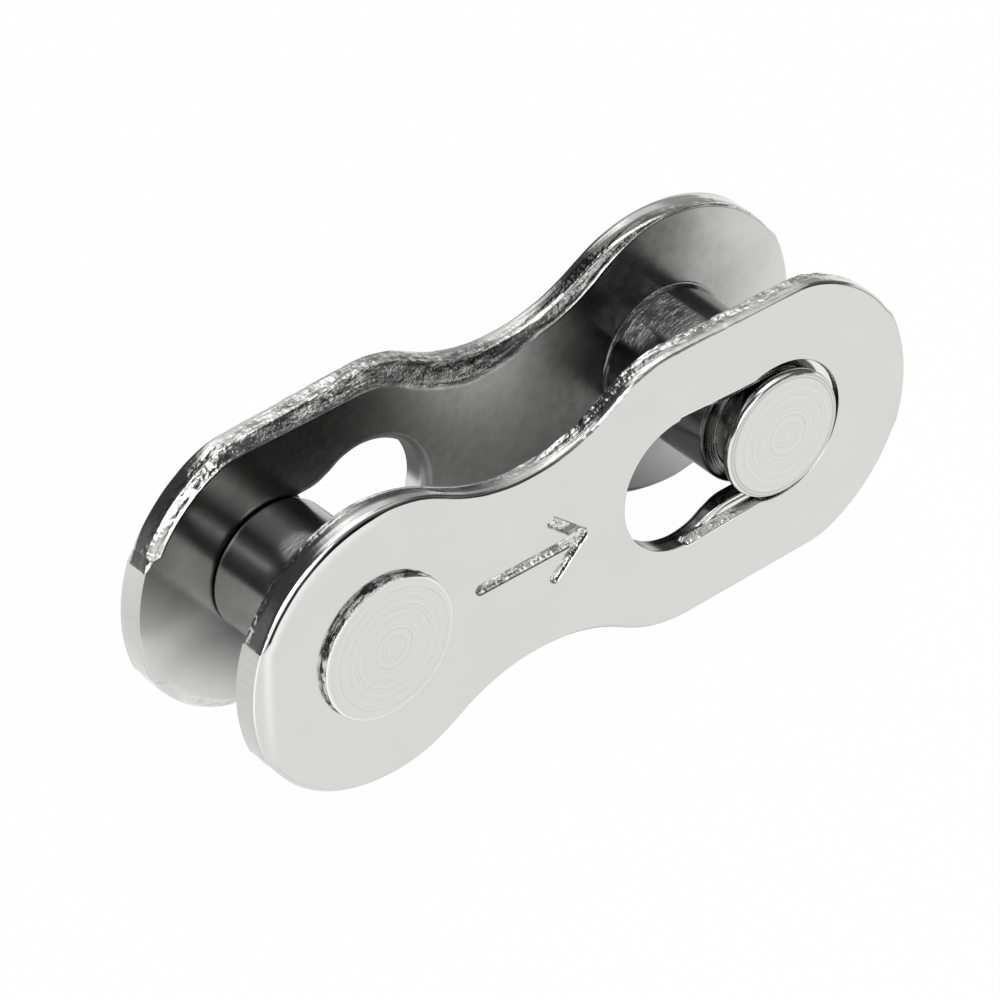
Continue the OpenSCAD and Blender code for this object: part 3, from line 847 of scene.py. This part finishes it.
def satin_group():
    """Fine scratches and soft mottling of plated steel. Place is in millimetres."""
    tree, get, put = new_group("satin_plating", {"Place": (0, 0, 0), "Grain": 12}, ["Height", "Tone"])
    fine = cloud(tree, get["Place"], get["Grain"], 4, 0.65)
    scratches = cloud(tree, scaled(tree, get["Place"], (1.2, 9, 9)), 2.2, 3, 0.6)
    tree.links.new(plus(tree, times(tree, fine, 0.6), times(tree, scratches, 0.4)), put["Height"])
    tree.links.new(cloud(tree, get["Place"], 0.55, 2), put["Tone"])
    return tree


def torn_group():
    """Crumbled surface of torn or stamped metal, in small facets. Place is in millimetres."""
    tree, get, put = new_group("torn_metal", {"Place": (0, 0, 0), "Grain": 16}, ["Height"])
    facets = add(tree, "ShaderNodeTexVoronoi", Vector=get["Place"], Scale=get["Grain"]).outputs["Distance"]
    fine = cloud(tree, get["Place"], 12, 3, 0.6)
    tree.links.new(plus(tree, times(tree, facets, 0.7), times(tree, fine, 0.6)), put["Height"])
    return tree


# Middle of the turning rings, off the pin's axis, and their wobble, in millimetres
RINGS_OFF = (-0.12, 0.06)
RINGS_WOBBLE = 0.08


def turned_group():
    """Turning rings and fine lines round the pin's axis. Off is the place measured from that axis."""
    tree, get, put = new_group("turning_rings", {"Off": (0, 0, 0), "Pitch": 0.13}, ["Rings", "Lines"])
    at = split(tree, get["Off"])
    across = add(tree, "ShaderNodeCombineXYZ", X=plus(tree, at["X"], RINGS_OFF[0]),
                 Z=plus(tree, at["Z"], RINGS_OFF[1])).outputs[0]
    radius = add(tree, "ShaderNodeVectorMath", operation="LENGTH", i0=across).outputs["Value"]
    run = plus(tree, radius, times(tree, cloud(tree, get["Off"], 1.4, 1), RINGS_WOBBLE))
    turns = add(tree, "ShaderNodeCombineXYZ", X=maths(tree, "DIVIDE", run, get["Pitch"])).outputs[0]
    rings = maths(tree, "SUBTRACT", cloud(tree, turns, 1, 2, 0.6), 0.5)
    strength = mix(tree, cloud(tree, get["Off"], 1.7, 2), -0.6, 2.4)
    tree.links.new(plus(tree, times(tree, rings, strength), 0.5), put["Rings"])
    drawn = add(tree, "ShaderNodeCombineXYZ", X=at["Y"], Y=times(tree, at["X"], 0.16),
                Z=times(tree, at["Z"], 0.16)).outputs[0]
    tree.links.new(cloud(tree, drawn, 14, 5, 0.75), put["Lines"])
    return tree


def plain_material(name):
    """Material with an empty Principled surface, its node tree, and the place in millimetres."""
    material = bpy.data.materials.new(name)
    material.use_nodes = True
    tree = material.node_tree
    here = add(tree, "ShaderNodeTexCoord").outputs["Object"]
    return material, tree, scaled(tree, here, (1 / MM,) * 3)


def mesh_values(tree, *names):
    """Values that a mesh carries at its points."""
    return [add(tree, "ShaderNodeAttribute", attribute_name=name).outputs["Fac"] for name in names]


# Metal tones, in linear light: painted highlight lines, some on really burnished edges, dark lines of
# painted shade in seams and creases, and the tint of green and blue. The bump step is in metres.
HIGHLIGHT_TONE = 0.97
SHADE_LINE_TONE = 0.03
TINT = (0.997, 0.99)
BUMP_STEP = 10e-6


def dress(tree, tone, shine, roughness, height):
    """Feeds the metal surface. Height is in bump steps; painted light adds highlight lines and lines of
    shade.
    """
    shader = tree.nodes["Principled BSDF"]
    bump = add(tree, "ShaderNodeBump", Strength=1, Distance=BUMP_STEP, Height=height)
    tree.links.new(bump.outputs["Normal"], shader.inputs["Normal"])
    # Painted light: painted highlight lines and dark lines of painted shade mixed into the metal's tone.
    tone = mix(tree, shine, tone, HIGHLIGHT_TONE)
    tone = mix(tree, times(tree, shine, -1), tone, SHADE_LINE_TONE)
    colour = add(tree, "ShaderNodeCombineColor", Red=tone, Green=times(tree, tone, TINT[0]),
                 Blue=times(tree, tone, TINT[1])).outputs[0]
    tree.links.new(colour, shader.inputs["Base Color"])
    tree.links.new(roughness, shader.inputs["Roughness"])
    shader.inputs["Metallic"].default_value = 1


# Painted shade between the plates, a mottled darker tone on the inner faces, in millimetres: where it fades
# in from inside the metal, along the chain and up the plate, and where its tone and roughness turn from the
# middle's to the ends'
PAINTED_SHADE_DEPTH = (0.26, 0.14)
PAINTED_SHADE_ALONG = (12.5, 5.5)
PAINTED_SHADE_UP = (-3.4, -1.2)
PAINTED_SHADE_ENDS = (0.5, 5)
PAINTED_SHADE_TONES = (0.60, 0.14)
PAINTED_SHADE_ROUGHNESS = (0.42, 0.23)

# Tones of the plate's finishes, as (darkest, brightest)
SATIN_TONES = (0.66, 0.72)
SHEAR_TONES = (0.50, 0.64)
TORN_TONES = (0.22, 0.92)
TORN_STEP = (0.36, 0.62)
TORN_ROUGHNESS = 0.17


def plate_material(satin, torn):
    """Satin nickel on stamped steel, torn where the mesh says so, with painted shade between the plates."""
    material, tree, place = plain_material("plate_nickel_satin")
    crush, streak, shine = mesh_values(tree, "crush", "streak", "shine")
    fine = add(tree, "ShaderNodeGroup", node_tree=satin, Place=place, Grain=14).outputs
    rough = add(tree, "ShaderNodeGroup", node_tree=torn, Place=place, Grain=11).outputs
    shear = cloud(tree, scaled(tree, place, (10, 0.8, 10)), 1.2, 3, 0.6)
    height = times(tree, fine["Height"], 0.06)
    height = plus(tree, height, times(tree, times(tree, shear, streak), 0.4))
    height = plus(tree, height, times(tree, times(tree, rough["Height"], crush), 1.5))
    # Painted shade on the inner faces between the plates: mottled, fading out far along the chain and low
    # on the plate.
    at = split(tree, place)
    inner = soft_step(tree, maths(tree, "ABSOLUTE", at["Y"]), *(GAP / 2 + depth for depth in PAINTED_SHADE_DEPTH))
    reach = plus(tree, maths(tree, "ABSOLUTE", at["X"]), times(tree, fine["Tone"], 2))
    painted_shade = times(tree, inner, soft_step(tree, reach, *PAINTED_SHADE_ALONG))
    painted_shade = times(tree, painted_shade, soft_step(tree, at["Z"], *PAINTED_SHADE_UP))
    blotch = cloud(tree, place, 2.6, 5, 0.7)
    painted_shade = times(tree, painted_shade, mix(tree, blotch, 1.15, 0.75))
    to_end = soft_step(tree, maths(tree, "ABSOLUTE", at["X"]), *PAINTED_SHADE_ENDS)
    painted_shade_tone = times(tree, mix(tree, to_end, *PAINTED_SHADE_TONES), mix(tree, blotch, 0.7, 1.3))
    chips = cloud(tree, scaled(tree, place, (1.8, 7, 5)), 1, 3, 0.6)
    tone = mix(tree, painted_shade, mix(tree, fine["Tone"], *SATIN_TONES), painted_shade_tone)
    tone = mix(tree, crush, tone, mix(tree, soft_step(tree, chips, *TORN_STEP), *TORN_TONES))
    tone = mix(tree, streak, tone, mix(tree, shear, *SHEAR_TONES))
    roughness = mix(tree, fine["Tone"], 0.12, 0.17)
    roughness = mix(tree, painted_shade, roughness, mix(tree, to_end, *PAINTED_SHADE_ROUGHNESS))
    dress(tree, tone, shine, mix(tree, crush, roughness, TORN_ROUGHNESS), height)
    return material


# Scuffs on a pin's body, with deeper fine lines and a bright tone that is a painted highlight, as (bearing
# round its axis in degrees, spread in degrees, reach from its foot)
SCUFF_HIGHLIGHTS = [(103, 21, 2.6), (131, 13, 1.3)]
SCUFF_HIGHLIGHT_STEP = (0.46, 0.62)
SCUFF_HIGHLIGHT_TONES = (0.25, 1)
SCUFF_ROUGHNESS = 0.24

# Tones of the pin's finishes, as (darkest, brightest), where the body's darker tones are painted shade
# between the plates, the cosine from which a face looks along the pin, and the depths under the plate's
# outer face, in millimetres, over which the body's painted shade fades in
BODY_SHADE_TONES = (0.26, 0.40)
FACE_TONES = (0.50, 0.90)
RIM_TONES = (0.06, 0.97)
RIM_STEP = (0.42, 0.56)
FACE_TURN = 0.9
BODY_SHADE_DEPTH = (0.2, 0.3)


def pin_material(satin, torn, turned, name, sign):
    """Nickel on a half's turned pin: painted shade on its body between the plates, and painted highlights
    on scuffs near its foot.
    """
    material, tree, place = plain_material(name)
    off = vectors(tree, "SUBTRACT", place, (sign * HALF_PITCH, 0, 0))
    crush, shine = mesh_values(tree, "crush", "shine")
    fine = add(tree, "ShaderNodeGroup", node_tree=satin, Place=place, Grain=10).outputs
    rough = add(tree, "ShaderNodeGroup", node_tree=torn, Place=place, Grain=13).outputs
    marks = add(tree, "ShaderNodeGroup", node_tree=turned, Off=off, Pitch=0.06).outputs
    facing = add(tree, "ShaderNodeNewGeometry").outputs["Normal"]
    on_face = maths(tree, "GREATER_THAN", maths(tree, "ABSOLUTE", split(tree, facing)["Y"]), FACE_TURN)
    on_side = maths(tree, "SUBTRACT", 1, on_face)
    ring = times(tree, marks["Rings"], on_face)
    across = split(tree, place)["Y"]
    from_foot = maths(tree, "ABSOLUTE", maths(tree, "SUBTRACT", across, sign * GAP / 2))
    # Painted highlights: scuffs at fixed bearings round the pin, near its foot, with a bright tone and
    # deeper lines.
    scuff_highlight = 0
    for turn, spread, reach in SCUFF_HIGHLIGHTS:
        x, z = heading(turn) / PIN_R
        near = vectors(tree, "DOT_PRODUCT", off, (x, 0, z), "Value")
        near = soft_step(tree, near, math.cos(math.radians(spread)), 1)
        spot = times(tree, near, soft_step(tree, from_foot, reach, 0.1 * reach))
        spot = times(tree, spot, mix(tree, fine["Tone"], 0.7, 1.6))
        scuff_highlight = maths(tree, "MAXIMUM", scuff_highlight, spot)
    scuff_highlight = times(tree, scuff_highlight, on_side)
    lines = times(tree, marks["Lines"], mix(tree, scuff_highlight, 0.10, 10))
    height = plus(tree, times(tree, ring, 1.2), times(tree, lines, on_side))
    height = plus(tree, height, times(tree, fine["Height"], 0.08))
    height = plus(tree, height, times(tree, times(tree, rough["Height"], crush), 0.7))
    # Painted shade: the body between the plates takes a darker tone than the faces.
    between = (GAP / 2 + PLATE_T - depth for depth in BODY_SHADE_DEPTH)
    body = times(tree, soft_step(tree, maths(tree, "ABSOLUTE", across), *between), on_side)
    scuff_highlight_tone = mix(tree, soft_step(tree, marks["Lines"], *SCUFF_HIGHLIGHT_STEP), *SCUFF_HIGHLIGHT_TONES)
    dark = mix(tree, scuff_highlight, mix(tree, marks["Lines"], *BODY_SHADE_TONES), scuff_highlight_tone)
    tone = mix(tree, body, mix(tree, ring, *FACE_TONES), dark)
    chips = cloud(tree, scaled(tree, place, (2.4, 9, 2.4)), 1, 2, 0.6)
    chips = mix(tree, soft_step(tree, chips, *RIM_STEP), *RIM_TONES)
    tone = mix(tree, soft_step(tree, crush, 0.1, 0.3), tone, chips)
    roughness = mix(tree, fine["Tone"], 0.12, 0.2)
    dress(tree, tone, shine, mix(tree, scuff_highlight, roughness, SCUFF_ROUGHNESS), height)
    return material


# The photograph's camera: azimuth, elevation and roll in degrees, distance in millimetres, and pixels per
# millimetre and the middle of the view in a square picture of FRAME_PX pixels
CAMERA_TURN = (-37.93, 37.761, -2.866)
CAMERA_AWAY = 444.8
PX_PER_MM = 40.208
VIEW_MIDDLE = (515.33, 489.505)
FRAME_PX = 1000
SENSOR = 36


def photo_camera():
    """Camera at the photograph's viewing angle, for a square picture."""
    azimuth, elevation, roll = (math.radians(a) for a in CAMERA_TURN)
    data = bpy.data.cameras.new("photo_camera")
    data.sensor_width = SENSOR
    data.lens = PX_PER_MM * CAMERA_AWAY / FRAME_PX * SENSOR
    data.shift_x = (FRAME_PX / 2 - VIEW_MIDDLE[0]) / FRAME_PX
    data.shift_y = (VIEW_MIDDLE[1] - FRAME_PX / 2) / FRAME_PX
    data.clip_start = 0.01
    camera = put_in_scene("photo_camera", data)
    tilt = Matrix.Rotation(math.pi / 2 - elevation, 4, "X") @ Matrix.Rotation(roll, 4, "Z")
    back = Matrix.Translation((0, 0, CAMERA_AWAY * MM))
    camera.matrix_world = Matrix.Rotation(azimuth, 4, "Z") @ tilt @ back
    bpy.context.scene.camera = camera


# Floor: half its size and its depth below the object in metres, its tone, and the share of plain white
# that the camera sees, which leaves a faint shadow
FLOOR_HALF = 3
FLOOR_BELOW = 0.00002
FLOOR_TONE = 0.9
WHITE_SHARE = 0.985

# Shadow that the object keeps on the floor in its own reflections: (axis, where it fades in, where it
# fades out) in millimetres, and the floor's tone there
SHADOW_SPANS = [("Y", (-2.9, -1.5), (12, 7)), ("X", (-8.6, -4.6), (10.5, 4.5))]
SHADOW_TONE = 0.16


def studio_floor():
    """White floor that keeps the object's shadow, and shows white to the camera."""
    mesh = bpy.data.meshes.new("floor")
    level = cad_low.z - FLOOR_BELOW
    corners = [(x * FLOOR_HALF, y * FLOOR_HALF, level) for x, y in ((-1, -1), (1, -1), (1, 1), (-1, 1))]
    mesh.from_pydata(corners, [], [(0, 1, 2, 3)])
    floor = put_in_scene("floor", mesh)
    material, tree, here = plain_material("white_floor")
    tree.nodes.remove(tree.nodes["Principled BSDF"])
    rays = add(tree, "ShaderNodeLightPath").outputs
    lit = add(tree, "ShaderNodeBsdfDiffuse", Color=(FLOOR_TONE, FLOOR_TONE, FLOOR_TONE, 1)).outputs[0]
    white = add(tree, "ShaderNodeEmission", Color=(1, 1, 1, 1), Strength=1).outputs[0]
    place = split(tree, here)
    behind, along = (times(tree, soft_step(tree, place[axis], *rise), soft_step(tree, place[axis], *fall))
                     for axis, rise, fall in SHADOW_SPANS)
    strength = mix(tree, times(tree, behind, along), 1, SHADOW_TONE)
    shaded = add(tree, "ShaderNodeEmission", Color=(1, 1, 1, 1), Strength=strength).outputs[0]
    seen = maths(tree, "MAXIMUM", rays["Is Glossy Ray"], rays["Is Transmission Ray"])
    mirrored = add(tree, "ShaderNodeMixShader", i0=seen, i1=lit, i2=shaded).outputs[0]
    to_camera = times(tree, rays["Is Camera Ray"], WHITE_SHARE)
    blend = add(tree, "ShaderNodeMixShader", i0=to_camera, i1=mirrored, i2=white).outputs[0]
    tree.links.new(blend, tree.nodes["Material Output"].inputs["Surface"])
    mesh.materials.append(material)


# Lamps, as (name, direction, distance, width, height, radiance), with sizes in metres
LAMPS = [
    ("front_left_lamp", (-0.30, -0.90, 0.33), 0.6, 0.46, 0.34, 2.4),
    ("top_lamp", (0.10, -0.12, 0.98), 0.6, 0.34, 0.34, 2.8),
]

# Pale walls of the room, as (direction, cosine where it is full, cosine where it is gone, brightness)
ROOM_WALLS = [
    ((0.72, 0.58, 0.38), 0.95, 0.66, 0.34),
    ((0.60, -0.75, 0.25), 0.95, 0.75, 0.06),
    ((-0.88, 0.46, 0.02), 0.97, 0.86, 0.10),
    ((0.42, 0.62, 0.66), 0.985, 0.93, 0.45),
    ((0.45, -0.35, 0.82), 0.97, 0.88, 0.6),
    ((0.13, 0.35, 0.93), 0.97, 0.90, 1.3),
    ((0.14, -0.62, 0.77), 0.985, 0.93, 0.6),
]
ROOM_DIM = 0.055


def studio_light():
    """Soft lamp in front on the left, a smaller one on top, and a dim room with pale walls."""
    for name, direction, away, width, height, radiance in LAMPS:
        data = bpy.data.lights.new(name, "AREA")
        data.shape = "RECTANGLE"
        data.size, data.size_y = width, height
        data.energy = radiance * math.pi * width * height
        lamp = put_in_scene(name, data)
        toward = Vector(direction).normalized()
        turn = toward.to_track_quat("Z", "Y").to_matrix().to_4x4()
        lamp.matrix_world = Matrix.Translation(toward * away) @ turn
    world = bpy.data.worlds.new("studio")
    world.use_nodes = True
    bpy.context.scene.world = world
    tree = world.node_tree
    tree.nodes.clear()
    rays = add(tree, "ShaderNodeLightPath").outputs
    toward = add(tree, "ShaderNodeTexCoord").outputs["Generated"]
    level = ROOM_DIM
    for direction, full, gone, brightness in ROOM_WALLS:
        facing = vectors(tree, "DOT_PRODUCT", toward, Vector(direction).normalized(), "Value")
        level = plus(tree, level, times(tree, soft_step(tree, facing, gone, full), brightness))
    strength = mix(tree, rays["Is Camera Ray"], level, 1)
    sky = add(tree, "ShaderNodeBackground", Color=(1, 1, 1, 1), Strength=strength).outputs[0]
    out = tree.nodes.new("ShaderNodeOutputWorld")
    tree.links.new(sky, out.inputs["Surface"])


def build_link():
    """Both halves of the link, each on its own body."""
    satin, torn, turned = satin_group(), torn_group(), turned_group()
    nickel = plate_material(satin, torn)
    plate, pin = plate_skin(), pin_skin()
    for side, sign in (("front", -1), ("rear", 1)):
        body = f"{side}_half"
        dressed_plate = plate.piece(f"{side}_plate_stamping", sign)
        dressed_plate.data.materials.append(nickel)
        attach(dressed_plate, body)
        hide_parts(f"{side}_plate")
        dressed_pin = pin.piece(f"{side}_pin_turning", sign)
        turned_nickel = pin_material(satin, torn, turned, f"{side}_pin_nickel", sign)
        dressed_pin.data.materials.append(turned_nickel)
        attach(dressed_pin, body)
        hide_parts(f"{side}_pin")


bpy.context.scene.view_settings.view_transform = "Standard"
photo_camera()
studio_floor()
studio_light()
build_link()
